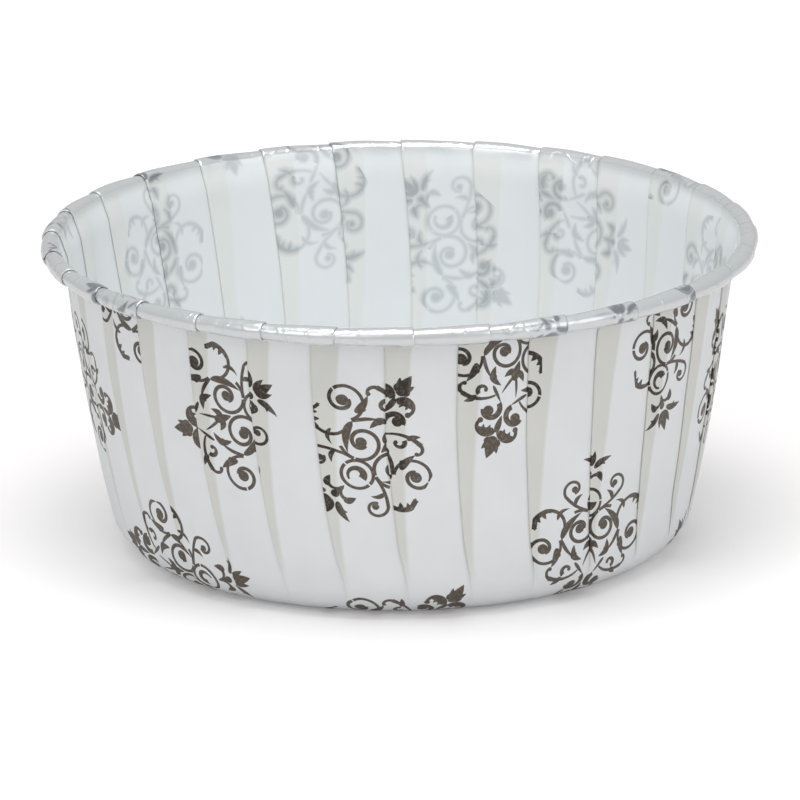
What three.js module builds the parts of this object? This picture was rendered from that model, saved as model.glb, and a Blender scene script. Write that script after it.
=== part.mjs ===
import * as THREE from 'three';

// A paper baking cup, folded from one round sheet.
// The flat base turns up through a small corner into a wall of one-way knife pleats.
// The top edge is curled outwards into a round rim.
// Millimetres, +Z up. The origin is the centre of the base, on the table.

// Driving dimensions
const RIM_DIAMETER = 70;
const HEIGHT = 31;
const ROLL_DIAMETER = 2;
const BASE_FLAT_DIAMETER = 47.8;
const BASE_CORNER_RADIUS = 4.6;
const WALL_TOP_DIAMETER = 64.9;
const WALL_TOP_BELOW_RIM = 2.8;
const WALL_FOOT_LEAN = THREE.MathUtils.degToRad(12.5);
const FLARE_LEAN = THREE.MathUtils.degToRad(20);
const CURL_PAST_BOTTOM = THREE.MathUtils.degToRad(40);
const CURL_TUCK = 0.15;

// The sheet and its pleats
const PLEATS = 29;
const PAPER_THICKNESS = 0.1;
const WALL_LAYER_GAP = 0.1;
const ROLL_LAYER_GAP = 0.05;
const OVERLAP_SHARE = 0.87;

// How each pleat forms on the way up: the sheet draws together, rises into an upright S, and lies down flat
const FLAT = { gather: 0, rise: 0, lay: 0 };
const RIPPLED = { gather: 0.45, rise: 0.35, lay: 0 };
const UPRIGHT = { gather: 0.85, rise: 1, lay: 0 };
const FOLDED = { gather: 1, rise: 1, lay: 1 };
const WALL_STATIONS = [0.2, 0.46, 0.73, 1];

// Finish
const PAPER_COLOR = '#e4e8e9';
const PAPER_ROUGHNESS = 0.5;

// The meridian is the middle of the sheet's innermost layer, from the base's centre to the curl's end.
// Its stations are points across and up, with the direction in which the sheet runs on there.
function station(across, up, direction, stage, layerGap) {
  return { across, up, direction, stage, pitch: PAPER_THICKNESS + layerGap };
}

function floorStations() {
  const level = PAPER_THICKNESS / 2;
  const outwards = new THREE.Vector2(1, 0);
  return [
    station(0, level, outwards, FLAT, WALL_LAYER_GAP),
    station(BASE_FLAT_DIAMETER / 2, level, outwards, FLAT, WALL_LAYER_GAP),
  ];
}

function cornerArc() {
  const radius = BASE_CORNER_RADIUS - PAPER_THICKNESS / 2;
  const start = -Math.PI / 2;
  return new THREE.EllipseCurve(
    BASE_FLAT_DIAMETER / 2, BASE_CORNER_RADIUS, radius, radius, start, -WALL_FOOT_LEAN, false,
  );
}

function cornerStations() {
  const arc = cornerArc();
  const middle = arc.getPoint(0.5);
  const foot = arc.getPoint(1);
  return [
    station(middle.x, middle.y, arc.getTangent(0.5), RIPPLED, WALL_LAYER_GAP),
    station(foot.x, foot.y, arc.getTangent(1), UPRIGHT, WALL_LAYER_GAP),
  ];
}

// The wall bulges a little: it leaves the corner along its tangent and steepens on the way up.
function wallStations() {
  const foot = cornerArc().getPoint(1);
  const top = new THREE.Vector2(WALL_TOP_DIAMETER / 2, HEIGHT - WALL_TOP_BELOW_RIM);
  const halfway = foot.distanceTo(top) / 2;
  const bulge = cornerArc().getTangent(1).multiplyScalar(halfway).add(foot);
  const wall = new THREE.QuadraticBezierCurve(foot, bulge, top);
  return WALL_STATIONS.map((t) => {
    const point = wall.getPoint(t);
    return station(point.x, point.y, wall.getTangent(t), FOLDED, WALL_LAYER_GAP);
  });
}

// The curl runs over the top, down the outside and back under, and tightens a little on the way.
function curlStations() {
  const outerRadius = ROLL_DIAMETER / 2;
  const centreAcross = RIM_DIAMETER / 2 - outerRadius;
  const centreUp = HEIGHT - outerRadius;
  const start = Math.PI - FLARE_LEAN;
  const top = Math.PI / 2;
  const eighth = Math.PI / 4;
  const turns = [start, (start + top) / 2, top, eighth, 0, -eighth, -top, -top - CURL_PAST_BOTTOM];
  const sweep = start - turns[turns.length - 1];
  return turns.map((angle) => {
    const tightened = THREE.MathUtils.clamp(-angle / sweep, 0, 1) * CURL_TUCK;
    const radius = outerRadius - PAPER_THICKNESS / 2 - tightened;
    const across = centreAcross + radius * Math.cos(angle);
    const up = centreUp + radius * Math.sin(angle);
    const direction = new THREE.Vector2(Math.sin(angle), -Math.cos(angle));
    return station(across, up, direction, FOLDED, ROLL_LAYER_GAP);
  });
}

// A flat round sheet is longer round than the cup at the same distance from the middle.
// What is spare is folded away, and each pleat hides twice its own overlap.
function withOverlaps(stations) {
  let sheetRadius = 0;
  return stations.map((here, index) => {
    const before = stations[Math.max(index - 1, 0)];
    sheetRadius += Math.hypot(here.across - before.across, here.up - before.up);
    const spare = Math.max(sheetRadius - here.across, 0);
    return { ...here, overlap: OVERLAP_SHARE * Math.PI * spare / PLEATS };
  });
}

// One pleat in section, along the wall and outwards from it: in to the inner fold,
// back to the outer fold, and on over both as the outermost layer.
function pleatSection({ across, stage, pitch, overlap }) {
  const lying = [[-overlap, 0], [0, 0], [0, 1], [-overlap, 1], [-overlap, 2], [0, 2]];
  const upright = [0, 0, 2 / 3, 4 / 3, 2, 2];
  const spacing = 2 * Math.PI * across / PLEATS / lying.length * (1 - stage.gather);
  return lying.map(([along, layer], index) => {
    const open = (index - (lying.length - 1) / 2) * spacing;
    const height = THREE.MathUtils.lerp(upright[index], layer, stage.lay) * stage.rise * pitch;
    return new THREE.Vector2(THREE.MathUtils.lerp(open, along, stage.lay), height);
  });
}

function ringSection(here) {
  const pleat = pleatSection(here);
  const width = 2 * Math.PI * here.across / PLEATS;
  return Array.from({ length: PLEATS }, (_, index) => (
    pleat.map((point) => new THREE.Vector2(point.x + index * width, point.y))
  )).flat();
}

// The offset that keeps both faces of the paper half a thickness from its middle, round each bend
function bendOffset(before, point, after) {
  const arriving = point.clone().sub(before).normalize();
  const leaving = after.clone().sub(point).normalize();
  const normalIn = new THREE.Vector2(-arriving.y, arriving.x);
  const normalOut = new THREE.Vector2(-leaving.y, leaving.x);
  const sum = normalIn.clone().add(normalOut);
  return sum.multiplyScalar(PAPER_THICKNESS / (1 + normalIn.dot(normalOut)) / 2);
}

// Both faces of the paper at one station, as two rings of points
function ringFaces(here) {
  const section = ringSection(here);
  const round = 2 * Math.PI * here.across;
  const outwards = new THREE.Vector2(here.direction.y, -here.direction.x);
  const place = (point) => {
    const angle = point.x / here.across;
    const across = here.across + point.y * outwards.x;
    const up = here.up + point.y * outwards.y;
    return new THREE.Vector3(across * Math.cos(angle), across * Math.sin(angle), up);
  };
  const outer = [];
  const inner = [];
  section.forEach((point, index) => {
    const last = section.length - 1;
    const before = index > 0 ? section[index - 1] : section[last].clone().setX(section[last].x - round);
    const after = index < last ? section[index + 1] : section[0].clone().setX(section[0].x + round);
    const offset = bendOffset(before, point, after);
    outer.push(place(point.clone().add(offset)));
    inner.push(place(point.clone().sub(offset)));
  });
  return { outer, inner };
}

function cupGeometry() {
  const stations = withOverlaps([
    ...floorStations(), ...cornerStations(), ...wallStations(), ...curlStations(),
  ]);
  const rings = stations.slice(1).map(ringFaces);
  const columns = rings[0].outer.length;
  const points = [new THREE.Vector3(0, 0, 0), new THREE.Vector3(0, 0, PAPER_THICKNESS)];
  rings.forEach((ring) => points.push(...ring.outer, ...ring.inner));
  const outerPoint = (row, column) => 2 + 2 * row * columns + (column % columns);
  const innerPoint = (row, column) => outerPoint(row, column) + columns;
  const triangles = [];
  const quad = (a, b, c, d) => triangles.push(a, b, c, a, c, d);
  const lastRow = rings.length - 1;
  for (let column = 0; column < columns; column += 1) {
    const next = column + 1;
    triangles.push(0, outerPoint(0, next), outerPoint(0, column));
    triangles.push(1, innerPoint(0, column), innerPoint(0, next));
    for (let row = 0; row < lastRow; row += 1) {
      const above = row + 1;
      quad(outerPoint(row, column), outerPoint(row, next), outerPoint(above, next), outerPoint(above, column));
      quad(innerPoint(row, next), innerPoint(row, column), innerPoint(above, column), innerPoint(above, next));
    }
    quad(
      outerPoint(lastRow, column), outerPoint(lastRow, next),
      innerPoint(lastRow, next), innerPoint(lastRow, column),
    );
  }
  const geometry = new THREE.BufferGeometry().setFromPoints(points);
  geometry.setIndex(triangles);
  geometry.computeVertexNormals();
  return geometry;
}

const paper = new THREE.MeshStandardMaterial({
  color: PAPER_COLOR,
  roughness: PAPER_ROUGHNESS,
  metalness: 0,
});

const bakingCup = new THREE.Mesh(cupGeometry(), paper);
bakingCup.name = 'baking_cup';

const group = new THREE.Group();
group.add(bakingCup);

export default group;
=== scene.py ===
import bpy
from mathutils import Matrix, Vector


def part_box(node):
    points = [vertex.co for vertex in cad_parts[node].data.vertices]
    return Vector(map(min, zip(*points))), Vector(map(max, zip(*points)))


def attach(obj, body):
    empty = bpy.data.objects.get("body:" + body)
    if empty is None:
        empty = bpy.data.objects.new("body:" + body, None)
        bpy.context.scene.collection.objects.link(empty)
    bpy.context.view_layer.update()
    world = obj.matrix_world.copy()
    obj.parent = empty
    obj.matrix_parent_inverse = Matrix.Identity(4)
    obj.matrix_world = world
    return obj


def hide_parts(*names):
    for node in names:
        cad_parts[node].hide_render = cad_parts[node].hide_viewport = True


bl_info = {
    "name": "Pleated paper baking cup",
    "version": (1, 0, 0),
    "blender": (4, 5, 0),
    "location": "View3D > Sidebar > Baking cup",
    "description": "A pleated paper baking cup with a rolled rim and printed scrollwork",
    "category": "Add Mesh",
}

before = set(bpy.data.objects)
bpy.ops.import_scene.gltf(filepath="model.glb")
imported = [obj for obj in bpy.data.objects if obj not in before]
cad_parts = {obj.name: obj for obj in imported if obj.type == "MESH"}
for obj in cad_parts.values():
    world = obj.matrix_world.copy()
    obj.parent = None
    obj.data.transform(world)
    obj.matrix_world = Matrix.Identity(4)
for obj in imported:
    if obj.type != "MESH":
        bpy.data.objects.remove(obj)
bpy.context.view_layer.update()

import math
import random

import bmesh
import bpy
from mathutils import Quaternion, Vector, noise

MM = 0.001
CUP_NODE = "baking_cup"
CUP_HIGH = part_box(CUP_NODE)[1]

# The square of flat paper that the map of the sheet covers
SHEET_SPAN = 130 * MM
# The least radius to work out an angle at, for the ring in the sheet's middle
LEAST_REACH = 0.001 * MM


def blend(low, high, share):
    return low + (high - low) * share


def ease(low, high, value):
    """A smooth climb from 0 at low to 1 at high."""
    share = min(max((value - low) / (high - low), 0.0), 1.0)
    return share * share * (3 - 2 * share)


# Sizes and colours that a user would change

class CupSizes(bpy.types.PropertyGroup):
    rim_radius: bpy.props.FloatProperty(
        name="Rim radius", description="Outside radius of the rolled rim",
        default=CUP_HIGH[0], unit="LENGTH")
    height: bpy.props.FloatProperty(
        name="Height", description="From the table to the top of the roll",
        default=CUP_HIGH[2], unit="LENGTH")
    roll_radius: bpy.props.FloatProperty(
        name="Roll radius", description="Radius of the curled edge in section",
        default=1.0 * MM, unit="LENGTH")
    base_radius: bpy.props.FloatProperty(
        name="Base radius", description="Radius of the flat part of the base",
        default=23.9 * MM, unit="LENGTH")
    corner_radius: bpy.props.FloatProperty(
        name="Corner radius", description="Radius of the bend from base to wall",
        default=4.6 * MM, unit="LENGTH")
    wall_top_radius: bpy.props.FloatProperty(
        name="Wall top radius", description="Radius of the wall's inner layer below the rim's flare",
        default=32.45 * MM, unit="LENGTH")
    flare_height: bpy.props.FloatProperty(
        name="Flare height", description="How far below the top of the roll the wall starts to flare",
        default=2.8 * MM, unit="LENGTH")
    foot_lean: bpy.props.FloatProperty(
        name="Foot lean", description="How far the wall leans outwards where it leaves the corner",
        default=math.radians(12.5), unit="ROTATION")
    flare_lean: bpy.props.FloatProperty(
        name="Flare lean", description="How far the wall leans outwards where it runs into the roll",
        default=math.radians(20), unit="ROTATION")
    curl_turn: bpy.props.FloatProperty(
        name="Curl turn", description="How far the edge curls round",
        default=math.radians(345), unit="ROTATION")
    curl_tuck: bpy.props.FloatProperty(
        name="Curl tuck", description="How much tighter the curl is at its end",
        default=0.3 * MM, unit="LENGTH")
    pleats: bpy.props.IntProperty(
        name="Pleats", description="Number of folds round the wall", default=29)
    paper: bpy.props.FloatProperty(
        name="Paper thickness", description="Thickness of the sheet",
        default=0.075 * MM, unit="LENGTH")
    wall_gap: bpy.props.FloatProperty(
        name="Gap in the wall", description="Air between folded layers in the wall",
        default=0.012 * MM, unit="LENGTH")
    roll_gap: bpy.props.FloatProperty(
        name="Gap in the roll", description="Air between folded layers in the roll",
        default=0.02 * MM, unit="LENGTH")
    overlap_share: bpy.props.FloatProperty(
        name="Overlap share", description="Share of the spare paper that the folds take up",
        default=0.98, unit="NONE")
    lean: bpy.props.FloatProperty(
        name="Pleat lean", description="How far the pleats swing to one side halfway down the wall",
        default=1.0 * MM, unit="LENGTH")
    print_pull: bpy.props.FloatProperty(
        name="Print pull", description="How far the folds at the back pull the print to one side",
        default=6.5 * MM, unit="LENGTH")


class CupColours(bpy.types.PropertyGroup):
    paper: bpy.props.FloatVectorProperty(
        name="Paper", description="White paper in one layer",
        default=(0.80, 0.825, 0.84), size=3, subtype="COLOR")
    # Painted shade: paper where three layers lie together, darker because less light comes through
    # them
    shaded_stacked_paper: bpy.props.FloatVectorProperty(
        name="Stacked paper", description="Paper where three layers lie together",
        default=(0.695, 0.70, 0.665), size=3, subtype="COLOR")
    ink: bpy.props.FloatVectorProperty(
        name="Ink", description="Print on one layer of paper",
        default=(0.098, 0.078, 0.060), size=3, subtype="COLOR")
    # Painted shade: the print is darker where three layers lie together and let less light through
    shaded_stacked_ink: bpy.props.FloatVectorProperty(
        name="Stacked ink", description="Print where three layers lie together",
        default=(0.030, 0.020, 0.012), size=3, subtype="COLOR")
    film: bpy.props.FloatVectorProperty(
        name="Film", description="The coated inside of the cup",
        default=(0.81, 0.84, 0.852), size=3, subtype="COLOR")
    # Painted shade: the film is darker over three layers, as less light comes through them
    shaded_stacked_film: bpy.props.FloatVectorProperty(
        name="Stacked film", description="The coated inside over three layers",
        default=(0.79, 0.805, 0.79), size=3, subtype="COLOR")
    ghost: bpy.props.FloatVectorProperty(
        name="Ghost of the print", description="Print seen through the paper from the inside",
        default=(0.36, 0.40, 0.42), size=3, subtype="COLOR")
    roll: bpy.props.FloatVectorProperty(
        name="Roll", description="The shiny film on the rolled rim",
        default=(0.70, 0.725, 0.74), size=3, subtype="COLOR")
    roll_ghost: bpy.props.FloatVectorProperty(
        name="Print on the roll", description="Print seen through the film on the rolled rim",
        default=(0.15, 0.17, 0.20), size=3, subtype="COLOR")


class StageSettings(bpy.types.PropertyGroup):
    camera_height: bpy.props.FloatProperty(
        name="Camera height", description="Angle of the camera above the table",
        default=math.radians(16.53), unit="ROTATION")
    camera_roll: bpy.props.FloatProperty(
        name="Camera roll", description="Turn of the camera about its own axis",
        default=math.radians(-0.66), unit="ROTATION")
    camera_distance: bpy.props.FloatProperty(
        name="Camera distance", description="From the camera to the middle of the cup",
        default=1015 * MM, unit="LENGTH")
    lens: bpy.props.FloatProperty(
        name="Lens", description="Focal length of the camera, in its own millimetres",
        default=466.4, unit="CAMERA")
    aim_height: bpy.props.FloatProperty(
        name="Aim height", description="Height above the table that the camera looks at",
        default=13.8 * MM, unit="LENGTH")
    key_power: bpy.props.FloatProperty(
        name="Key light", description="Power of the soft light at the front left",
        default=0.46, unit="POWER")
    top_power: bpy.props.FloatProperty(
        name="Top light", description="Power of the soft light above the cup",
        default=1.95, unit="POWER")
    fill_power: bpy.props.FloatProperty(
        name="Fill light", description="Power of the soft light at the front right",
        default=0.44, unit="POWER")
    world_light: bpy.props.FloatProperty(
        name="Surrounding light", description="Strength of the even light from all round",
        default=0.52, unit="NONE")


# The folded sheet

class Station:
    """One ring of the sheet: where it lies in section and how far its pleats have formed."""

    def __init__(self, across, up, heading, along):
        self.across = across
        self.up = up
        self.heading = heading
        self.along = along
        self.gather = 0.0
        self.rise = 0.0
        self.lay = 0.0
        self.roll = 0.0
        self.pitch = 0.0
        self.lean = 0.0
        self.curled = 0.0


FLOOR_RINGS = 5
CORNER_RINGS = 9
WALL_RINGS = 26
FLARE_RINGS = 3
CURL_RINGS = 19
# The share of the curl after which it tightens
TUCKS_FROM = 0.45
# Where the sheet gathers and the pleats rise and lie down, in lengths of the corner past the base
GATHERS = (-0.1, 0.9)
RISE = (0.1, 1.0)
LIE_DOWN = (0.7, 1.75)
# How close a pleat's points have drawn together once the sheet has gathered
GATHERED = 0.93
# Where the film turns shiny, and where the layers close up, from the start of the curl
TURNS_SHINY = (-0.5 * MM, 0.3 * MM)
CLOSE_UP = (-3 * MM, 0.0)
# The pleats' swing at the foot of the wall, and how far they bow out above it
SWING_AT_FOOT = 0.5
SWING_ABOVE = 2.75


def section_points(sizes):
    """The sheet's innermost layer in section, as points across and up with the way it runs."""
    level = sizes.paper / 2
    points = []
    for ring in range(FLOOR_RINGS):
        points.append((sizes.base_radius * ring / FLOOR_RINGS, level, 0.0))
    bend = sizes.corner_radius - sizes.paper / 2
    corner_turn = math.pi / 2 - sizes.foot_lean
    for ring in range(CORNER_RINGS + 1):
        turn = corner_turn * ring / CORNER_RINGS
        across = sizes.base_radius + bend * math.sin(turn)
        up = sizes.corner_radius - bend * math.cos(turn)
        points.append((across, up, turn))
    foot = Vector((across, up))
    top = Vector((sizes.wall_top_radius, sizes.height - sizes.flare_height))
    bulge = foot + Vector((math.cos(turn), math.sin(turn))) * (top - foot).length / 2
    for ring in range(1, WALL_RINGS + 1):
        share = ring / WALL_RINGS
        point = foot.lerp(bulge, share).lerp(bulge.lerp(top, share), share)
        way = (bulge - foot).lerp(top - bulge, share)
        points.append((point.x, point.y, math.atan2(way.y, way.x)))
    middle = Vector((sizes.rim_radius - sizes.roll_radius, sizes.height - sizes.roll_radius))
    start = math.pi - sizes.flare_lean
    curl = []
    for ring in range(CURL_RINGS + 1):
        share = ring / CURL_RINGS
        angle = start - sizes.curl_turn * share
        tightened = sizes.curl_tuck * ease(TUCKS_FROM, 1.0, share)
        radius = sizes.roll_radius - sizes.paper / 2 - tightened
        across = middle.x + radius * math.cos(angle)
        up = middle.y + radius * math.sin(angle)
        curl.append((across, up, angle - math.pi / 2))
    joint = Vector(curl[0][:2])
    for ring in range(1, FLARE_RINGS):
        share = ring / FLARE_RINGS
        point = top.lerp(joint, share)
        points.append((point.x, point.y, blend(points[-1][2], curl[0][2], share)))
    return points + curl


def sheet_stations(sizes):
    """Every ring of the sheet, with its distance from the middle and the state of its pleats."""
    stations = []
    along = 0.0
    before = None
    for across, up, heading in section_points(sizes):
        if before:
            along += math.hypot(across - before[0], up - before[1])
        before = (across, up)
        stations.append(Station(across, up, heading, along))
    curl_start = stations[-CURL_RINGS - 1].along
    wall_foot = stations[FLOOR_RINGS + CORNER_RINGS].along
    corner = wall_foot - sizes.base_radius
    for here in stations:
        climbed = (here.along - sizes.base_radius) / corner
        here.gather = GATHERED * ease(*GATHERS, climbed)
        here.rise = ease(*RISE, climbed)
        here.lay = ease(*LIE_DOWN, climbed)
        past_wall = here.along - curl_start
        here.roll = ease(*TURNS_SHINY, past_wall)
        here.pitch = sizes.paper + blend(sizes.wall_gap, sizes.roll_gap, ease(*CLOSE_UP, past_wall))
        down = min(max(past_wall / (wall_foot - curl_start), 0.0), 1.0)
        here.lean = -sizes.lean * here.rise * down * (SWING_AT_FOOT + SWING_ABOVE * (1 - down))
        here.curled = max(past_wall, 0.0)
    return stations


class Pleat:
    """One fold of the sheet: where it starts and ends round the cup, and how it differs."""

    def __init__(self, start, end, chance):
        self.start = start
        self.end = end
        self.overlap = chance.uniform(0.90, 1.12)
        self.gap = chance.uniform(0.6, 1.6)
        self.bulge = chance.uniform(0.4, 1.4)
        self.wander = chance.uniform(0, 100)
        self.slant = chance.uniform(-0.16, 0.10)


# The pleats crowd a little at two sides of the cup, those at the back are turned on, and each
# one strays by a random angle.
PLEAT_SEED = 29
CROWDING = math.radians(1.2)
CROWDING_START = math.radians(12)
BACK_TURN = math.radians(1.7)
STRAY = 0.004


def cup_pleats(sizes):
    """The pleats round the cup, not quite evenly spread."""
    chance = random.Random(PLEAT_SEED)
    starts = []
    for index in range(sizes.pleats):
        even = index * math.tau / sizes.pleats
        crowded = even + CROWDING * math.cos(2 * even - CROWDING_START)
        turned = crowded + BACK_TURN * (1 + math.sin(even))
        starts.append(turned + chance.uniform(-STRAY, STRAY))
    starts.append(starts[0] + math.tau)
    return [Pleat(starts[index], starts[index + 1], chance) for index in range(sizes.pleats)]


# The folded part of a pleat in section: how far along the overlap each point lies, on which
# layer, how far it rounds out past the fold in layer pitches, and its place on the flat sheet.
FOLD_POINTS = (
    (-1.00, 0.00, 0.00, -1.00), (-0.66, 0.00, 0.00, -0.66), (-0.33, 0.00, 0.00, -0.33),
    (-0.06, 0.00, 0.00, -0.06), (0.00, 0.15, 0.35, -0.01), (0.00, 0.50, 0.50, 0.00),
    (0.00, 0.85, 0.35, 0.01), (-0.15, 1.00, 0.00, 0.15), (-0.50, 1.00, 0.00, 0.50),
    (-0.88, 1.00, 0.00, 0.88), (-1.00, 1.15, -0.35, 0.99), (-1.00, 1.50, -0.50, 1.00),
    (-1.00, 1.85, -0.35, 1.01), (-0.92, 2.00, 0.00, 1.08), (-0.62, 2.00, 0.00, 1.38),
    (-0.31, 2.00, 0.00, 1.69), (0.00, 2.00, 0.00, 2.00),
)
# The points of the panel beside it, as shares of the panel's width
PANEL_POINTS = (0.07, 0.17, 0.32, 0.5, 0.68, 0.84, 0.94)
# The fold's points lie this far apart where the sheet is flat.
OPEN_SPACING = 0.26 * MM
# Shares of the fold's points between which an upright fold climbs
UPRIGHT_CLIMB = (0.1, 0.9)
# A panel slopes evenly down from its fold, or all at once within PANEL_SETTLES of its width.
# PANEL_CLOSENESS is the weight of the second.
PANEL_SETTLES = 0.22
PANEL_CLOSENESS = 0.75
PANEL_BULGE = 0.14 * MM
# A fold's overlap wanders by this share, in waves of this length up the wall.
WANDER = 0.10
WANDER_LENGTH = 7 * MM


class SheetPoint:
    """A point of a ring: along the wall, out from it, on the flat sheet, and its layers."""

    def __init__(self, along, out, flat, stack):
        self.along = along
        self.out = out
        self.flat = flat
        self.stack = stack


def pleat_overlap(here, pleat, sizes):
    """How far a pleat's layers overlap to take up the paper that is spare in a ring."""
    spare = max(here.along - here.across, 0.0)
    wander = noise.noise(Vector((here.along / WANDER_LENGTH, pleat.wander, 0.0)))
    share = sizes.overlap_share * pleat.overlap * (1 + WANDER * wander)
    return share * spare * (pleat.end - pleat.start) / 2


def pleat_points(here, pleat, following, sizes):
    """One pleat of a ring: the folded part, and the panel that runs on to the next fold."""
    overlap = pleat_overlap(here, pleat, sizes)
    spread = here.across / sizes.base_radius if here.across < sizes.base_radius else 1.0
    spacing = OPEN_SPACING * (1 - here.gather) * spread
    pitch = sizes.paper + (here.pitch - sizes.paper) * blend(pleat.gap, 1.0, here.roll)
    last = len(FOLD_POINTS) - 1
    seam = here.lean + pleat.slant * here.curled
    points = []
    for index, (along, layer, rounding, flat) in enumerate(FOLD_POINTS):
        open_along = (index - last / 2) * spacing
        lying = along * overlap + rounding * pitch
        upright = 2 * ease(*UPRIGHT_CLIMB, index / last)
        out = blend(upright, layer, here.lay) * here.rise * pitch
        place = blend(open_along, lying, here.lay) + seam
        flat_place = blend(open_along, flat * overlap, here.lay) + seam
        points.append(SheetPoint(place, out, flat_place, here.lay))
    arc = (pleat.end - pleat.start) * here.across
    next_overlap = pleat_overlap(here, following, sizes)
    next_seam = here.lean + following.slant * here.curled
    next_start = blend(-(last / 2) * spacing, -next_overlap, here.lay) + next_seam
    end_along = arc + next_start
    end_flat = (pleat.end - pleat.start) * max(here.along, here.across) + next_start
    first = points[-1]
    bulge = PANEL_BULGE * pleat.bulge * here.rise * (1 - here.roll)
    for share in PANEL_POINTS:
        settled = 1 - ease(0.0, PANEL_SETTLES, share)
        raised = blend(1 - share, settled, PANEL_CLOSENESS * (1 - here.roll))
        out = first.out * raised + bulge * math.sin(math.pi * share)
        along = blend(first.along, end_along, share)
        points.append(SheetPoint(along, out, blend(first.flat, end_flat, share), 0.0))
    return points


def ring_points(here, pleats, sizes):
    """All points of a ring: angle round the cup, height out from the wall, flat angle, layers."""
    ring = []
    reach = max(here.across, LEAST_REACH)
    paper_reach = max(here.along, LEAST_REACH)
    for index, pleat in enumerate(pleats):
        following = pleats[(index + 1) % len(pleats)]
        for point in pleat_points(here, pleat, following, sizes):
            angle = pleat.start + point.along / reach
            flat_angle = pleat.start + point.flat / paper_reach
            ring.append((angle, point.out, flat_angle, point.stack))
    return ring


# Below this the mitre of a sharp bend grows no further, so that it doesn't stick out.
LEAST_MITRE = 0.8


def bend_offsets(ring, here, sizes):
    """Half the paper's thickness at each point of a ring, square to the sheet, mitred at bends."""
    reach = max(here.across, LEAST_REACH)
    places = [Vector((angle * reach, out)) for angle, out, _, _ in ring]
    turn = Vector((math.tau * reach, 0.0))
    places = [places[-1] - turn] + places + [places[0] + turn]
    offsets = []
    for index in range(1, len(places) - 1):
        arriving = (places[index] - places[index - 1]).normalized()
        leaving = (places[index + 1] - places[index]).normalized()
        across = Vector((-arriving.y - leaving.y, arriving.x + leaving.x))
        length = max(across.length_squared / 2, LEAST_MITRE)
        offsets.append(across * sizes.paper / 2 / length)
    return offsets


# Dents have a closeness round the cup, a length up it, a depth, and a shift off the other kinds.
# Those of the rim run straight over the roll.
BROAD_DENTS = (2.2, 16 * MM, 0.16 * MM, (0, 0))
FINE_DENTS = (9.0, 5 * MM, 0.07 * MM, (3, 5))
RIM_DENTS = (6.0, math.inf, 0.05 * MM, (8, 1))
# Where the dents of the wall begin and are at their full depth, from the base
WALL_DENTS = (2 * MM, 9 * MM)


def dent(kind, angle, up):
    """How far one kind of dents moves the paper at an angle round the cup and a height."""
    closeness, length, depth, shift = kind
    around = Vector((math.cos(angle), math.sin(angle), 0.0))
    return depth * noise.noise(around * closeness + Vector((*shift, up / length)))


def unevenness(angle, here, sizes):
    """Soft dents and waves of pressed paper, square to the wall."""
    wall = ease(*WALL_DENTS, here.along - sizes.base_radius) * (1 - here.roll)
    dents = dent(BROAD_DENTS, angle, here.up) + dent(FINE_DENTS, angle, here.up)
    return wall * dents + here.roll * dent(RIM_DENTS, angle, here.up)


def fold_sheet(rings, stations, pleats, sizes, side):
    """Places for one face of the paper: side is 1 for the outside and -1 for the inside."""
    places = []
    for here, ring in zip(stations, rings):
        offsets = bend_offsets(ring, here, sizes)
        outwards = (math.sin(here.heading), -math.cos(here.heading))
        reach = max(here.across, LEAST_REACH)
        row = []
        for (angle, out, flat_angle, stack), offset in zip(ring, offsets):
            turned = angle + side * offset.x / reach
            height = out + side * offset.y + unevenness(angle, here, sizes)
            across = here.across + height * outwards[0]
            up = here.up + height * outwards[1]
            place = Vector((across * math.cos(turned), across * math.sin(turned), up))
            flat = here.along * Vector((math.cos(flat_angle), math.sin(flat_angle), 0.0))
            row.append((place, flat, stack, here.roll))
        places.append(row)
    return places


def add_sheet_face(mesh, places, layers, material):
    """A flat grid of paper, folded into place, with its seam and its middle closed."""
    rows = len(places) - 1
    columns = len(places[0])
    made = bmesh.ops.create_grid(mesh, x_segments=columns, y_segments=rows, size=1.0)
    grid = {}
    for vert in made["verts"]:
        column = round((vert.co.x + 1) / 2 * columns)
        row = round((vert.co.y + 1) / 2 * rows)
        grid[row, column] = vert
        place, flat, stack, roll = places[row][column % columns]
        vert.co = place
        vert[layers["flat"]] = flat
        vert[layers["stack"]] = stack
        vert[layers["roll"]] = roll
    faces = {face for vert in made["verts"] for face in vert.link_faces}
    for face in faces:
        face.material_index = material
        face.smooth = True
    welds = {grid[row, columns]: grid[row, 0] for row in range(1, rows + 1)}
    welds.update({grid[0, column]: grid[0, 0] for column in range(1, columns + 1)})
    edge = [grid[rows, column] for column in range(columns)]
    bmesh.ops.weld_verts(mesh, targetmap=welds)
    return edge


def join_faces(mesh, outside, inside):
    """The cut edge of the sheet, between its two faces."""
    for index, vert in enumerate(outside):
        face = mesh.faces.new((outside[index - 1], vert, inside[index], inside[index - 1]))
        face.smooth = True


def printed_place(flat, sizes):
    """The printed place at a flat point. Towards the back the folds pull the print to one side."""
    reach = flat.length
    towards_back = (1 + flat.y / max(reach, MM)) / 2
    pull = sizes.print_pull * towards_back ** 2 * ease(0.0, sizes.base_radius, reach)
    return flat - Vector((pull, 0.0, 0.0))


def map_sheet(mesh, layers, sizes):
    """The map of the sheet: each corner's place on the flat round of paper."""
    sheet_map = mesh.loops.layers.uv.new("Sheet")
    for face in mesh.faces:
        for loop in face.loops:
            flat = printed_place(loop.vert[layers["flat"]], sizes)
            loop[sheet_map].uv = (flat.x / SHEET_SPAN + 0.5, flat.y / SHEET_SPAN + 0.5)


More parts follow.
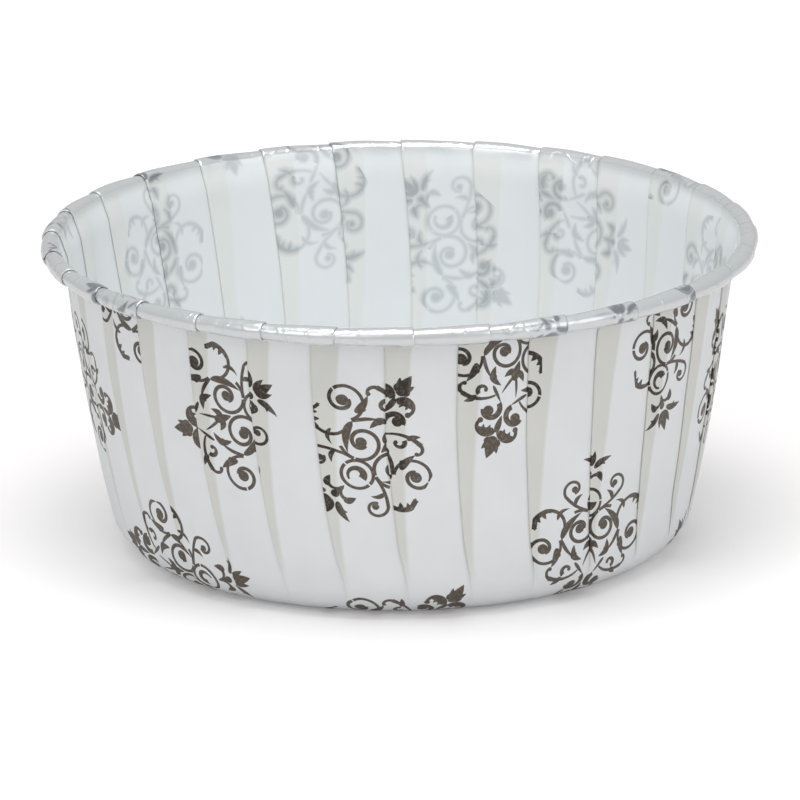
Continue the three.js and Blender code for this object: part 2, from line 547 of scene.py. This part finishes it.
def make_cup_mesh(sizes):
    """The folded sheet: its two faces, joined along their cut edge."""
    stations = sheet_stations(sizes)
    pleats = cup_pleats(sizes)
    rings = [ring_points(here, pleats, sizes) for here in stations]
    mesh = bmesh.new()
    layers = {
        "flat": mesh.verts.layers.float_vector.new("flat"),
        "stack": mesh.verts.layers.float.new("stack"),
        "roll": mesh.verts.layers.float.new("roll"),
    }
    edges = []
    for material, side in enumerate((1, -1)):
        places = fold_sheet(rings, stations, pleats, sizes, side)
        edges.append(add_sheet_face(mesh, places, layers, material))
    join_faces(mesh, *edges)
    bmesh.ops.recalc_face_normals(mesh, faces=mesh.faces)
    map_sheet(mesh, layers, sizes)
    mesh.verts.layers.float_vector.remove(layers["flat"])
    data = bpy.data.meshes.new("paper_cup")
    mesh.to_mesh(data)
    mesh.free()
    return data


# Shader building blocks

class Nodes:
    """A short way to add and link nodes in one tree."""

    def __init__(self, tree):
        self.tree = tree

    def add(self, kind, settings=None, **inputs):
        node = self.tree.nodes.new(kind)
        for name, value in (settings or {}).items():
            setattr(node, name, value)
        for name, value in inputs.items():
            self.feed(node.inputs[name.replace("_", " ")], value)
        return node

    def feed(self, socket, value):
        if isinstance(value, bpy.types.NodeSocket):
            self.tree.links.new(value, socket)
        else:
            socket.default_value = value

    def math(self, operation, *values):
        node = self.tree.nodes.new("ShaderNodeMath")
        node.operation = operation
        for socket, value in zip(node.inputs, values):
            self.feed(socket, value)
        return node.outputs[0]

    def vector(self, operation, *values, output=0):
        node = self.tree.nodes.new("ShaderNodeVectorMath")
        node.operation = operation
        for socket, value in zip(node.inputs, values):
            self.feed(socket, value)
        return node.outputs[output]

    def mix_colour(self, share, first, second):
        node = self.tree.nodes.new("ShaderNodeMix")
        node.data_type = "RGBA"
        self.feed(node.inputs[0], share)
        self.feed(node.inputs[6], first)
        self.feed(node.inputs[7], second)
        return node.outputs[2]

    def mix_value(self, share, first, second):
        node = self.tree.nodes.new("ShaderNodeMix")
        node.data_type = "FLOAT"
        self.feed(node.inputs[0], share)
        self.feed(node.inputs[2], first)
        self.feed(node.inputs[3], second)
        return node.outputs[0]

    def smooth(self, value, low, high):
        node = self.tree.nodes.new("ShaderNodeMapRange")
        node.interpolation_type = "SMOOTHSTEP"
        for socket, given in zip(node.inputs, (value, low, high, 0.0, 1.0)):
            self.feed(socket, given)
        return node.outputs[0]

    def use(self, group, **inputs):
        node = self.tree.nodes.new("ShaderNodeGroup")
        node.node_tree = group
        for name, value in inputs.items():
            self.feed(node.inputs[name.replace("_", " ")], value)
        return node


def new_group(name, inputs, outputs):
    """An empty node group with named sockets, and a helper to fill it."""
    group = bpy.data.node_groups.new(name, "ShaderNodeTree")
    kinds = {"float": "NodeSocketFloat", "vector": "NodeSocketVector"}
    for socket, (kind, default) in inputs.items():
        made = group.interface.new_socket(socket, in_out="INPUT", socket_type=kinds[kind])
        if default is not None:
            made.default_value = default
    for socket, kind in outputs.items():
        group.interface.new_socket(socket, in_out="OUTPUT", socket_type=kinds[kind])
    nodes = Nodes(group)
    entry = group.nodes.new("NodeGroupInput")
    exit_node = group.nodes.new("NodeGroupOutput")
    return group, nodes, entry.outputs, exit_node.inputs


# Half the width of the gap that the stencil leaves in a stroke, in millimetres
HALF_GAP = 0.10
# These bring a leaf's bow and its width to their full size where they are greatest.
BOW_SCALE = 4.0
LEAF_SCALE = 2.6


def scroll_group():
    """Depth inside a curling stroke, which may wind in several turns towards its middle."""
    group, n, given, out = new_group(
        "Scroll stroke",
        {"Point": ("vector", None), "Centre": ("vector", None), "Start radius": ("float", 1.0),
         "End radius": ("float", 1.0), "Start turn": ("float", 0.0), "Turns": ("float", 1.0),
         "Start width": ("float", 0.2), "End width": ("float", 0.2), "Hand": ("float", 1.0),
         "Gap at": ("float", -1.0)},
        {"Depth": "float"})
    arm = n.vector("SUBTRACT", given["Point"], given["Centre"])
    across = n.vector("DOT_PRODUCT", arm, (1.0, 0.0, 0.0), output=1)
    up = n.vector("DOT_PRODUCT", arm, (0.0, 1.0, 0.0), output=1)
    angle = n.math("ARCTAN2", n.math("MULTIPLY", up, given["Hand"]), across)
    turn = n.math("FRACT", n.math("SUBTRACT", n.math("DIVIDE", angle, math.tau), given["Start turn"]))
    reach = n.vector("LENGTH", arm, output=1)
    inwards = n.math("SUBTRACT", given["Start radius"], given["End radius"])
    per_turn = n.math("DIVIDE", inwards, given["Turns"])
    wound = n.math("DIVIDE", n.math("SUBTRACT", given["Start radius"], reach), per_turn)
    whole = n.math("ROUND", n.math("SUBTRACT", wound, turn))
    most = n.math("FLOOR", n.math("SUBTRACT", given["Turns"], turn))
    whole = n.math("MAXIMUM", n.math("MINIMUM", whole, most), 0.0)
    place = n.math("ADD", turn, whole)
    share = n.math("DIVIDE", place, given["Turns"])
    radius = n.mix_value(share, given["Start radius"], given["End radius"])
    width = n.mix_value(share, given["Start width"], given["End width"])
    off = n.math("ABSOLUTE", n.math("SUBTRACT", reach, radius))
    depth = n.math("SUBTRACT", n.math("MULTIPLY", width, 0.5), off)
    beyond = n.math("GREATER_THAN", place, given["Turns"])
    depth = n.math("SUBTRACT", depth, beyond)
    from_gap = n.math("ABSOLUTE", n.math("SUBTRACT", place, given["Gap at"]))
    along = n.math("MULTIPLY", n.math("MULTIPLY", from_gap, reach), math.tau)
    gap = n.math("SUBTRACT", along, HALF_GAP)
    n.feed(out["Depth"], n.math("MINIMUM", depth, gap))
    return group


def leaf_group():
    """Depth inside a leaf from its base to its tip, widest near the base and bent to one side."""
    group, n, given, out = new_group(
        "Leaf stroke",
        {"Point": ("vector", None), "Base": ("vector", None), "Tip": ("vector", None),
         "Half width": ("float", 0.2), "Bend": ("float", 0.0)},
        {"Depth": "float"})
    spine = n.vector("SUBTRACT", given["Tip"], given["Base"])
    arm = n.vector("SUBTRACT", given["Point"], given["Base"])
    length = n.vector("LENGTH", spine, output=1)
    unit = n.vector("NORMALIZE", spine)
    along = n.math("DIVIDE", n.vector("DOT_PRODUCT", arm, unit, output=1), length)
    leftwards = n.vector("CROSS_PRODUCT", (0.0, 0.0, 1.0), unit)
    beside = n.vector("DOT_PRODUCT", arm, leftwards, output=1)
    share = n.math("MINIMUM", n.math("MAXIMUM", along, 0.0), 1.0)
    rest = n.math("SUBTRACT", 1.0, share)
    full_bow = n.math("MULTIPLY", given["Bend"], BOW_SCALE)
    bow = n.math("MULTIPLY", n.math("MULTIPLY", share, rest), full_bow)
    profile = n.math("MULTIPLY", n.math("MULTIPLY", n.math("SQRT", share), rest), LEAF_SCALE)
    off = n.math("ABSOLUTE", n.math("SUBTRACT", beside, bow))
    depth = n.math("SUBTRACT", n.math("MULTIPLY", profile, given["Half width"]), off)
    beyond = n.math("ABSOLUTE", n.math("SUBTRACT", along, share))
    n.feed(out["Depth"], n.math("SUBTRACT", depth, n.math("MULTIPLY", beyond, length)))
    return group


# The medallion, in millimetres from its middle, with the flower's axis up the page.
# Only its right half is listed: the print is the same on both sides of the axis.
# A scroll has a middle, start and end radii, start angle, sweep, start and end widths, hand, gap.
SCROLLS = {
    "mid_spiral": ((1.95, 1.00), 2.10, 0.42, 60, 480, 0.28, 0.40, 1, 0.14),
    "outer_spiral": ((5.90, -1.15), 2.05, 0.48, 150, 450, 0.24, 0.40, 1, 0.55),
    "outer_arch": ((5.85, 1.30), 2.12, 1.45, 151, 215, 0.26, 0.38, -1, 0.04),
    "outer_crest": ((5.85, 1.25), 1.76, 1.38, -100, 112, 0.32, 0.70, -1, -1),
    "tall_stem": ((-0.05, 8.90), 6.15, 6.15, -77, 31, 0.24, 0.28, 1, -1),
    "tall_hook": ((3.50, 5.30), 1.12, 0.42, -50, 300, 0.26, 0.24, 1, -1),
    "ring": ((0.0, 3.90), 1.48, 1.48, -90, 180, 0.27, 0.27, 1, 0.25),
    "drop_branch": ((0.85, 6.10), 0.76, 0.66, 170, 150, 0.12, 0.40, -1, -1),
    "low_bough": ((3.40, -1.00), 3.20, 3.62, -129, 60, 0.14, 0.46, 1, -1),
    "low_hook": ((4.50, -3.75), 0.66, 0.55, -110, 175, 0.36, 0.20, 1, -1),
    "low_curl": ((2.85, -3.50), 0.50, 0.48, -60, 205, 0.46, 0.20, 1, -1),
    "comma": ((1.42, -5.05), 1.12, 0.62, 128, 216, 0.50, 0.56, 1, -1),
    "curled_leaf": ((1.25, -6.80), 1.15, 0.78, 160, 245, 0.20, 0.34, 1, -1),
}
DOTS = {
    "mid_eye": ((2.00, 1.05), 0.50),
    "outer_eye": ((5.92, -1.15), 0.54),
    "tall_eye": ((3.40, 5.30), 0.31),
    "drop": ((0.0, 7.05), 0.38),
    "low_eye": ((2.55, -3.30), 0.18),
    "low_end": ((4.80, -3.35), 0.19),
    "comma_eye": ((1.50, -5.22), 0.50),
    "leaf_eye": ((1.92, -6.38), 0.26),
    "palm_heart": ((2.25, -1.78), 0.34),
    "root_lobe": ((4.12, -1.75), 0.27),
    "bud_lobe": ((0.42, -8.22), 0.42),
}
# A leaf has a base, a tip, half its width and a bend to the left of the way it grows.
LEAVES = {
    "tulip": ((0.0, 7.75), (0.0, 10.0), 0.50, 0.0),
    "tulip_side": ((0.0, 7.80), (0.82, 9.35), 0.34, -0.20),
    "free_leaf": ((0.68, 7.60), (2.85, 8.40), 0.32, 0.18),
    "free_lobe": ((1.25, 8.05), (2.05, 7.75), 0.20, 0.10),
    "drop_foot": ((0.0, 7.20), (0.0, 5.75), 0.26, 0.0),
    "drop_side": ((1.05, 7.05), (1.58, 5.95), 0.32, 0.10),
    "thorn": ((3.10, 3.60), (2.40, 4.75), 0.22, -0.22),
    "crown_leaf": ((3.98, 0.05), (2.15, 2.80), 0.36, -0.36),
    "side_curl": ((4.80, 2.10), (3.65, 3.30), 0.20, -0.36),
    "bough": ((3.98, 0.0), (2.10, -2.10), 0.17, 0.25),
    "palm_top": ((2.25, -2.05), (2.40, -0.70), 0.27, -0.06),
    "palm_tip": ((2.65, -1.60), (1.20, -2.35), 0.30, 0.14),
    "bell": ((0.0, -1.55), (0.0, 0.55), 0.42, 0.0),
    "bell_side": ((0.0, -0.55), (1.12, -1.40), 0.32, 0.18),
    "bell_stem": ((0.06, -1.00), (0.82, -3.10), 0.12, 0.06),
    "cross_bar": ((1.95, -2.65), (0.60, -4.00), 0.15, 0.0),
    "low_tooth": ((3.25, -4.20), (4.15, -5.15), 0.26, -0.06),
    "root_leaf": ((4.30, -1.00), (4.70, -3.15), 0.34, -0.14),
    "crest_tooth": ((6.55, 2.95), (6.05, 2.15), 0.24, 0.06),
    "crest_hook": ((7.20, 2.45), (6.60, 1.75), 0.24, 0.06),
    "crest_end": ((7.35, 1.90), (7.00, 0.85), 0.34, 0.05),
    "fork": ((0.0, -7.10), (0.0, -5.30), 0.28, 0.0),
    "leaf_body": ((0.30, -6.95), (2.15, -7.05), 0.40, -0.36),
    "leaf_tooth": ((0.95, -7.50), (0.78, -6.55), 0.20, 0.04),
    "leaf_spur": ((1.45, -7.50), (1.42, -6.70), 0.18, 0.04),
    "bud": ((0.0, -7.55), (0.0, -10.0), 0.60, 0.0),
    "bud_side": ((0.10, -8.10), (0.80, -9.20), 0.30, 0.06),
}
# The moon in the ring is not the same on both sides, so it is drawn on the whole medallion.
CRESCENT = ((0.0, 3.98), 0.86, 0.58, 100, 252, 0.14, 0.76, 1, -1)
# The depth to start from, far outside every stroke
NO_INK = -9.0


def medallion_group():
    """Depth inside the printed medallion, both the listed half and its mirror image."""
    group, n, given, out = new_group(
        "Medallion", {"Across": ("float", 0.0), "Up": ("float", 0.0)}, {"Depth": "float"})
    scroll = scroll_group()
    leaf = leaf_group()
    side = n.math("ABSOLUTE", given["Across"])
    point = n.add("ShaderNodeCombineXYZ", X=side, Y=given["Up"]).outputs[0]
    whole = n.add("ShaderNodeCombineXYZ", X=given["Across"], Y=given["Up"]).outputs[0]
    strokes = [(point, stroke) for stroke in SCROLLS.values()] + [(whole, CRESCENT)]
    deepest = NO_INK
    for place, (centre, start, end, angle, sweep, width, end_width, hand, gap) in strokes:
        stroke = n.use(
            scroll, Point=place, Centre=(*centre, 0), Start_radius=start, End_radius=end,
            Start_turn=angle / 360, Turns=sweep / 360, Start_width=width, End_width=end_width,
            Hand=hand, Gap_at=gap)
        deepest = n.math("MAXIMUM", deepest, stroke.outputs["Depth"])
    for centre, radius in DOTS.values():
        away = n.vector("DISTANCE", point, (*centre, 0), output=1)
        deepest = n.math("MAXIMUM", deepest, n.math("SUBTRACT", radius, away))
    for base, tip, half_width, bend in LEAVES.values():
        shape = n.use(
            leaf, Point=point, Base=(*base, 0), Tip=(*tip, 0), Half_width=half_width, Bend=bend)
        deepest = n.math("MAXIMUM", deepest, shape.outputs["Depth"])
    n.feed(out["Depth"], deepest)
    return group


# The print's layout on the flat sheet, in millimetres. Medallions stand in columns, each half a
# drop from the next, so that a slanting row runs through them. Every second slant is upside down.
PRINT_ORIGIN = Vector((20.97, -25.75, 0.0))
PRINT_TURN = math.radians(312.8)
PRINT_UP = Vector((math.cos(PRINT_TURN), math.sin(PRINT_TURN), 0.0))
PRINT_SIDE = Vector((-PRINT_UP.y, PRINT_UP.x, 0.0))
COLUMN_STEP = Vector((11.03, 9.59, 0.0))
DROP_STEP = Vector((10.56, -13.36, 0.0))


def print_group():
    """Depth inside the nearest medallion of the print, at a place on the flat sheet."""
    group, n, given, out = new_group("Damask print", {"Sheet": ("vector", None)}, {"Depth": "float"})
    from_origin = Vector((0.5, 0.5, 0.0)) + PRINT_ORIGIN * MM / SHEET_SPAN
    centred = n.vector("SUBTRACT", given["Sheet"], from_origin)
    flat = n.vector("MULTIPLY", centred, Vector((1, 1, 0)) * SHEET_SPAN / MM)
    area = COLUMN_STEP.x * DROP_STEP.y - COLUMN_STEP.y * DROP_STEP.x
    across_columns = Vector((DROP_STEP.y, -DROP_STEP.x, 0.0)) / area
    across_drops = Vector((-COLUMN_STEP.y, COLUMN_STEP.x, 0.0)) / area
    column = n.math("ROUND", n.vector("DOT_PRODUCT", flat, across_columns, output=1))
    odd = n.math("MULTIPLY", n.math("FRACT", n.math("MULTIPLY", column, 0.5)), 2.0)
    drops = n.math("SUBTRACT", n.vector("DOT_PRODUCT", flat, across_drops, output=1), odd)
    pair = n.math("ROUND", n.math("MULTIPLY", drops, 0.5))
    drop = n.math("ADD", n.math("MULTIPLY", pair, 2.0), odd)
    columns = n.add("ShaderNodeCombineXYZ", X=column, Y=column).outputs[0]
    drops = n.add("ShaderNodeCombineXYZ", X=drop, Y=drop).outputs[0]
    local = n.vector("SUBTRACT", flat, n.vector("MULTIPLY", columns, COLUMN_STEP))
    local = n.vector("SUBTRACT", local, n.vector("MULTIPLY", drops, DROP_STEP))
    slant = n.math("MULTIPLY", n.math("ADD", column, drop), 0.5)
    upside_down = n.math("MULTIPLY", n.math("FRACT", n.math("MULTIPLY", slant, 0.5)), -4.0)
    across = n.vector("DOT_PRODUCT", local, PRINT_SIDE, output=1)
    up = n.vector("DOT_PRODUCT", local, PRINT_UP, output=1)
    up = n.math("MULTIPLY", up, n.math("ADD", upside_down, 1.0))
    medallion = n.use(medallion_group(), Across=across, Up=up)
    n.feed(out["Depth"], medallion.outputs["Depth"])
    return group


# The middle of a noise texture's values
NOISE_MIDDLE = 0.5
# How wide a crease is in the film's noise, and the height of the fine noise on it
CREASE_WIDTH = 0.07
FINE_HEIGHT = 0.5


def fibre_group():
    """Fine tooth and cloudy tone of pressed paper."""
    group, n, given, out = new_group(
        "Paper fibre", {"Place": ("vector", None)}, {"Tooth": "float", "Cloud": "float"})
    tooth = n.add("ShaderNodeTexNoise", Vector=given["Place"], Scale=3200.0, Detail=3.0, Roughness=0.6)
    cloud = n.add("ShaderNodeTexNoise", Vector=given["Place"], Scale=170.0, Detail=3.0, Roughness=0.5)
    n.feed(out["Tooth"], tooth.outputs[0])
    n.feed(out["Cloud"], cloud.outputs[0])
    return group


def crinkle_group():
    """Small sharp creases of a film pressed round a tight curl."""
    group, n, given, out = new_group("Film crinkle", {"Place": ("vector", None)}, {"Height": "float"})
    broad = n.add("ShaderNodeTexNoise", Vector=given["Place"], Scale=300.0, Detail=1.0, Distortion=0.8)
    ridge = n.math("ABSOLUTE", n.math("SUBTRACT", broad.outputs[0], NOISE_MIDDLE))
    sharp = n.math("SUBTRACT", 1.0, n.smooth(ridge, 0.0, CREASE_WIDTH))
    fine = n.add("ShaderNodeTexNoise", Vector=given["Place"], Scale=1500.0, Detail=1.0)
    n.feed(out["Height"], n.math("MULTIPLY_ADD", fine.outputs[0], FINE_HEIGHT, sharp))
    return group


# Looks of the paper, the ink and the film. The spread, the raggedness, the edge and each blur of
# the print are depths inside a stroke in millimetres, and a pair runs from no print to full print.
CLOUDINESS = 0.10
SPECKLE_TOOTH = (0.45, 0.75)
SPECKLE = 0.14
INK_SPREAD = 0.035
INK_RAGGEDNESS = 0.06
INK_EDGE = (-0.025, 0.035)
PAPER_ROUGHNESS = 0.62
INK_ROUGHNESS = 0.5
PAPER_SPECULAR = 0.35
TOOTH_STRENGTH = 0.25
TOOTH_DEPTH = 0.03 * MM
OWN_BLUR = (-0.28, 0.28)
BEHIND_BLUR = (-0.55, 0.30)
ROLL_BLUR = (-0.15, 0.20)
BEHIND_SHARE = 0.80
# How strongly the print shows in one layer and over three, on the wall and on the roll
WALL_GHOST = (0.52, 0.85)
ROLL_GHOST = (0.25, 0.80)
# The film on the wall and on the roll
FILM_ROUGHNESS = (0.42, 0.26)
FILM_COAT = (0.2, 0.6)
ROLL_METALLIC = 0.55
COAT_ROUGHNESS = 0.16
# Heights of the bumps in the film, in millimetres
FILM_TOOTH = 0.006
FILM_CREASE = 0.034


def new_material(name):
    """An empty material with its shader, and a helper to fill it."""
    material = bpy.data.materials.new(name)
    material.use_nodes = True
    material.node_tree.nodes.clear()
    nodes = Nodes(material.node_tree)
    shader = nodes.add("ShaderNodeBsdfPrincipled")
    output = nodes.add("ShaderNodeOutputMaterial")
    nodes.feed(output.inputs["Surface"], shader.outputs[0])
    return material, nodes, shader


def opaque(colour):
    return (*colour, 1.0)


def outside_material(colours, damask, fibre):
    """The printed outside: uncoated white paper, with painted shade where three layers lie together
    and let less light through.
    """
    material, n, shader = new_material("printed_outside")
    sheet = n.add("ShaderNodeUVMap", {"uv_map": "Sheet"}).outputs[0]
    place = n.add("ShaderNodeTexCoord").outputs["Object"]
    stack = n.add("ShaderNodeAttribute", {"attribute_name": "stack"}).outputs["Fac"]
    grain = n.use(fibre, Place=place).outputs
    cloud = n.math("SUBTRACT", grain["Cloud"], NOISE_MIDDLE)
    tone = n.math("MULTIPLY_ADD", cloud, CLOUDINESS, 1.0)
    tones = n.add("ShaderNodeCombineXYZ", X=tone, Y=tone, Z=tone).outputs[0]
    # Painted shade: where three layers lie together the paper is darker, as less light comes through
    # them.
    paper = n.mix_colour(stack, opaque(colours.paper), opaque(colours.shaded_stacked_paper))
    paper = n.vector("MULTIPLY", paper, tones)
    # Painted shade on the print too: the ink is darker where three layers let less light through.
    ink = n.mix_colour(stack, opaque(colours.ink), opaque(colours.shaded_stacked_ink))
    speckle = n.math("MULTIPLY", n.smooth(grain["Tooth"], *SPECKLE_TOOTH), SPECKLE)
    ink = n.mix_colour(speckle, ink, opaque(colours.shaded_stacked_paper))
    depth = n.use(damask, Sheet=sheet).outputs["Depth"]
    spread = n.math("ADD", depth, INK_SPREAD)
    tooth = n.math("SUBTRACT", grain["Tooth"], NOISE_MIDDLE)
    ragged = n.math("MULTIPLY_ADD", tooth, INK_RAGGEDNESS, spread)
    printed = n.smooth(ragged, *INK_EDGE)
    n.feed(shader.inputs["Base Color"], n.mix_colour(printed, paper, ink))
    n.feed(shader.inputs["Roughness"], n.mix_value(printed, PAPER_ROUGHNESS, INK_ROUGHNESS))
    shader.inputs["Specular IOR Level"].default_value = PAPER_SPECULAR
    bump = n.add(
        "ShaderNodeBump", Height=grain["Tooth"], Strength=TOOTH_STRENGTH, Distance=TOOTH_DEPTH)
    n.feed(shader.inputs["Normal"], bump.outputs[0])
    return material


def inside_material(colours, damask, fibre):
    """The coated inside, with the print showing through softly, and the shiny roll."""
    material, n, shader = new_material("coated_inside")
    sheet = n.add("ShaderNodeUVMap", {"uv_map": "Sheet"}).outputs[0]
    place = n.add("ShaderNodeTexCoord").outputs["Object"]
    stack = n.add("ShaderNodeAttribute", {"attribute_name": "stack"}).outputs["Fac"]
    roll = n.add("ShaderNodeAttribute", {"attribute_name": "roll"}).outputs["Fac"]
    grain = n.use(fibre, Place=place).outputs
    # Painted shade: the film is darker over three layers, as less light comes through them.
    wall = n.mix_colour(stack, opaque(colours.film), opaque(colours.shaded_stacked_film))
    base = n.mix_colour(roll, wall, opaque(colours.roll))
    depth = n.use(damask, Sheet=sheet).outputs["Depth"]
    own_print = n.smooth(depth, *OWN_BLUR)
    behind = n.math("MULTIPLY", stack, BEHIND_SHARE)
    print_behind = n.math("MULTIPLY", n.smooth(depth, *BEHIND_BLUR), behind)
    ghost = n.math("MAXIMUM", own_print, print_behind)
    on_wall = n.math("MULTIPLY", ghost, n.mix_value(stack, *WALL_GHOST))
    on_roll = n.math("MULTIPLY", n.smooth(depth, *ROLL_BLUR), n.mix_value(stack, *ROLL_GHOST))
    ghost_colour = n.mix_colour(roll, opaque(colours.ghost), opaque(colours.roll_ghost))
    strength = n.mix_value(roll, on_wall, on_roll)
    n.feed(shader.inputs["Base Color"], n.mix_colour(strength, base, ghost_colour))
    n.feed(shader.inputs["Roughness"], n.mix_value(roll, *FILM_ROUGHNESS))
    n.feed(shader.inputs["Metallic"], n.math("MULTIPLY", roll, ROLL_METALLIC))
    n.feed(shader.inputs["Coat Weight"], n.mix_value(roll, *FILM_COAT))
    shader.inputs["Coat Roughness"].default_value = COAT_ROUGHNESS
    crinkle = n.use(crinkle_group(), Place=place).outputs["Height"]
    creases = n.math("MULTIPLY", n.math("MULTIPLY", crinkle, roll), FILM_CREASE)
    height = n.math("MULTIPLY_ADD", grain["Tooth"], FILM_TOOTH, creases)
    bump = n.add("ShaderNodeBump", Height=height, Strength=1.0, Distance=MM)
    n.feed(shader.inputs["Normal"], bump.outputs[0])
    return material


# Stage

# From the middle of the floor to its edges
FLOOR_REACH = 3.0
# The floor lies a hair below the cup, so that the two don't share a plane.
FLOOR_DROP = 0.02 * MM
FLOOR_COLOUR = (0.80, 0.785, 0.785)
WHITE = (1.0, 1.0, 1.0, 1.0)
# The floor glows for the camera alone: less near the cup, to keep its shadow, than farther off.
GLOW_DISTANCE = (0.05, 0.30)
GLOW = (0.21, 0.6)
# The lights' places and sizes. Each has its power in the stage's settings.
LIGHTS = {
    "key": ((-0.32, -0.42, 0.38), 0.35),
    "top": ((-0.02, -0.10, 0.60), 0.40),
    "fill": ((0.42, -0.34, 0.26), 0.40),
}
LIGHTS_AIM = Vector((0.0, 0.0, 0.015))
# The cup stands this far to the right of the camera's aim.
CUP_RIGHT = 0.1 * MM


def floor_material():
    """A pale table: white to the camera, and it keeps the cup's shadow."""
    material, n, shader = new_material("pale_floor")
    shader.inputs["Base Color"].default_value = opaque(FLOOR_COLOUR)
    shader.inputs["Roughness"].default_value = 0.9
    shader.inputs["Emission Color"].default_value = WHITE
    place = n.add("ShaderNodeTexCoord").outputs["Object"]
    distance = n.vector("LENGTH", place, output=1)
    glow = n.mix_value(n.smooth(distance, *GLOW_DISTANCE), *GLOW)
    seen = n.add("ShaderNodeLightPath").outputs["Is Camera Ray"]
    n.feed(shader.inputs["Emission Strength"], n.math("MULTIPLY", seen, glow))
    return material


def light_world(settings):
    """Even light from all round, and plain white where the camera sees it."""
    world = bpy.data.worlds.new("studio")
    bpy.context.scene.world = world
    world.use_nodes = True
    world.node_tree.nodes.clear()
    n = Nodes(world.node_tree)
    path = n.add("ShaderNodeLightPath").outputs
    seen = n.math("MAXIMUM", path["Is Camera Ray"], path["Is Transmission Ray"])
    strength = n.mix_value(seen, settings.world_light, 1.0)
    background = n.add("ShaderNodeBackground", Color=WHITE, Strength=strength)
    output = n.add("ShaderNodeOutputWorld")
    n.feed(output.inputs["Surface"], background.outputs[0])


def add_area_light(name, place, size, power):
    """A soft round light that looks at the cup."""
    light = bpy.data.lights.new(name, "AREA")
    light.shape = "DISK"
    light.size = size
    light.energy = power
    lamp = bpy.data.objects.new(name, light)
    lamp.location = place
    lamp.rotation_euler = (LIGHTS_AIM - Vector(place)).to_track_quat("-Z", "Y").to_euler()
    bpy.context.scene.collection.objects.link(lamp)


def add_camera(settings):
    """A camera that sees the cup as the photograph does."""
    camera = bpy.data.cameras.new("photo_view")
    camera.lens = settings.lens
    camera.clip_start = 0.05
    camera.clip_end = 20
    eye = bpy.data.objects.new("photo_view", camera)
    tilt = settings.camera_height
    away = Vector((0.0, -math.cos(tilt), math.sin(tilt)))
    aim = Vector((-CUP_RIGHT, 0.0, settings.aim_height))
    eye.location = aim + away * settings.camera_distance
    turn = (-away).to_track_quat("-Z", "Y") @ Quaternion((0, 0, 1), settings.camera_roll)
    eye.rotation_euler = turn.to_euler()
    bpy.context.scene.collection.objects.link(eye)
    bpy.context.scene.camera = eye


# Operators, panel and registration

class OBJECT_OT_fold_baking_cup(bpy.types.Operator):
    """Fold the paper cup from its flat sheet and give it its finish"""
    bl_idname = "object.fold_baking_cup"
    bl_label = "Baking cup"

    def execute(self, context):
        scene = context.scene
        cup = bpy.data.objects.new("paper_cup", make_cup_mesh(scene.cup_sizes))
        scene.collection.objects.link(cup)
        damask = print_group()
        fibre = fibre_group()
        cup.data.materials.append(outside_material(scene.cup_colours, damask, fibre))
        cup.data.materials.append(inside_material(scene.cup_colours, damask, fibre))
        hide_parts(CUP_NODE)
        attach(cup, "root")
        return {"FINISHED"}


class OBJECT_OT_set_studio_stage(bpy.types.Operator):
    """Add the pale floor, the soft lights and the camera"""
    bl_idname = "object.set_studio_stage"
    bl_label = "Studio stage"

    def execute(self, context):
        settings = context.scene.stage_settings
        mesh = bmesh.new()
        bmesh.ops.create_grid(mesh, x_segments=1, y_segments=1, size=FLOOR_REACH)
        bmesh.ops.translate(mesh, vec=(0.0, 0.0, -FLOOR_DROP), verts=mesh.verts)
        data = bpy.data.meshes.new("floor")
        mesh.to_mesh(data)
        mesh.free()
        floor = bpy.data.objects.new("floor", data)
        floor.data.materials.append(floor_material())
        context.scene.collection.objects.link(floor)
        light_world(settings)
        for name, (place, size) in LIGHTS.items():
            add_area_light(name, place, size, getattr(settings, name + "_power"))
        add_camera(settings)
        context.scene.view_settings.view_transform = "Standard"
        return {"FINISHED"}


class VIEW3D_PT_baking_cup(bpy.types.Panel):
    bl_label = "Baking cup"
    bl_space_type = "VIEW_3D"
    bl_region_type = "UI"
    bl_category = "Baking cup"

    def draw(self, context):
        for operator in OPERATORS:
            self.layout.operator(operator.bl_idname)
        scene = context.scene
        for settings in (scene.cup_sizes, scene.cup_colours, scene.stage_settings):
            for name in settings.__annotations__:
                self.layout.prop(settings, name)


OPERATORS = (OBJECT_OT_fold_baking_cup, OBJECT_OT_set_studio_stage)
CLASSES = (CupSizes, CupColours, StageSettings, *OPERATORS, VIEW3D_PT_baking_cup)


def register():
    for kind in CLASSES:
        bpy.utils.register_class(kind)
    bpy.types.Scene.cup_sizes = bpy.props.PointerProperty(type=CupSizes)
    bpy.types.Scene.cup_colours = bpy.props.PointerProperty(type=CupColours)
    bpy.types.Scene.stage_settings = bpy.props.PointerProperty(type=StageSettings)


def unregister():
    del bpy.types.Scene.stage_settings
    del bpy.types.Scene.cup_colours
    del bpy.types.Scene.cup_sizes
    for kind in reversed(CLASSES):
        bpy.utils.unregister_class(kind)


def main():
    register()
    bpy.ops.object.fold_baking_cup()
    bpy.ops.object.set_studio_stage()


if __name__ == "__main__":
    main()
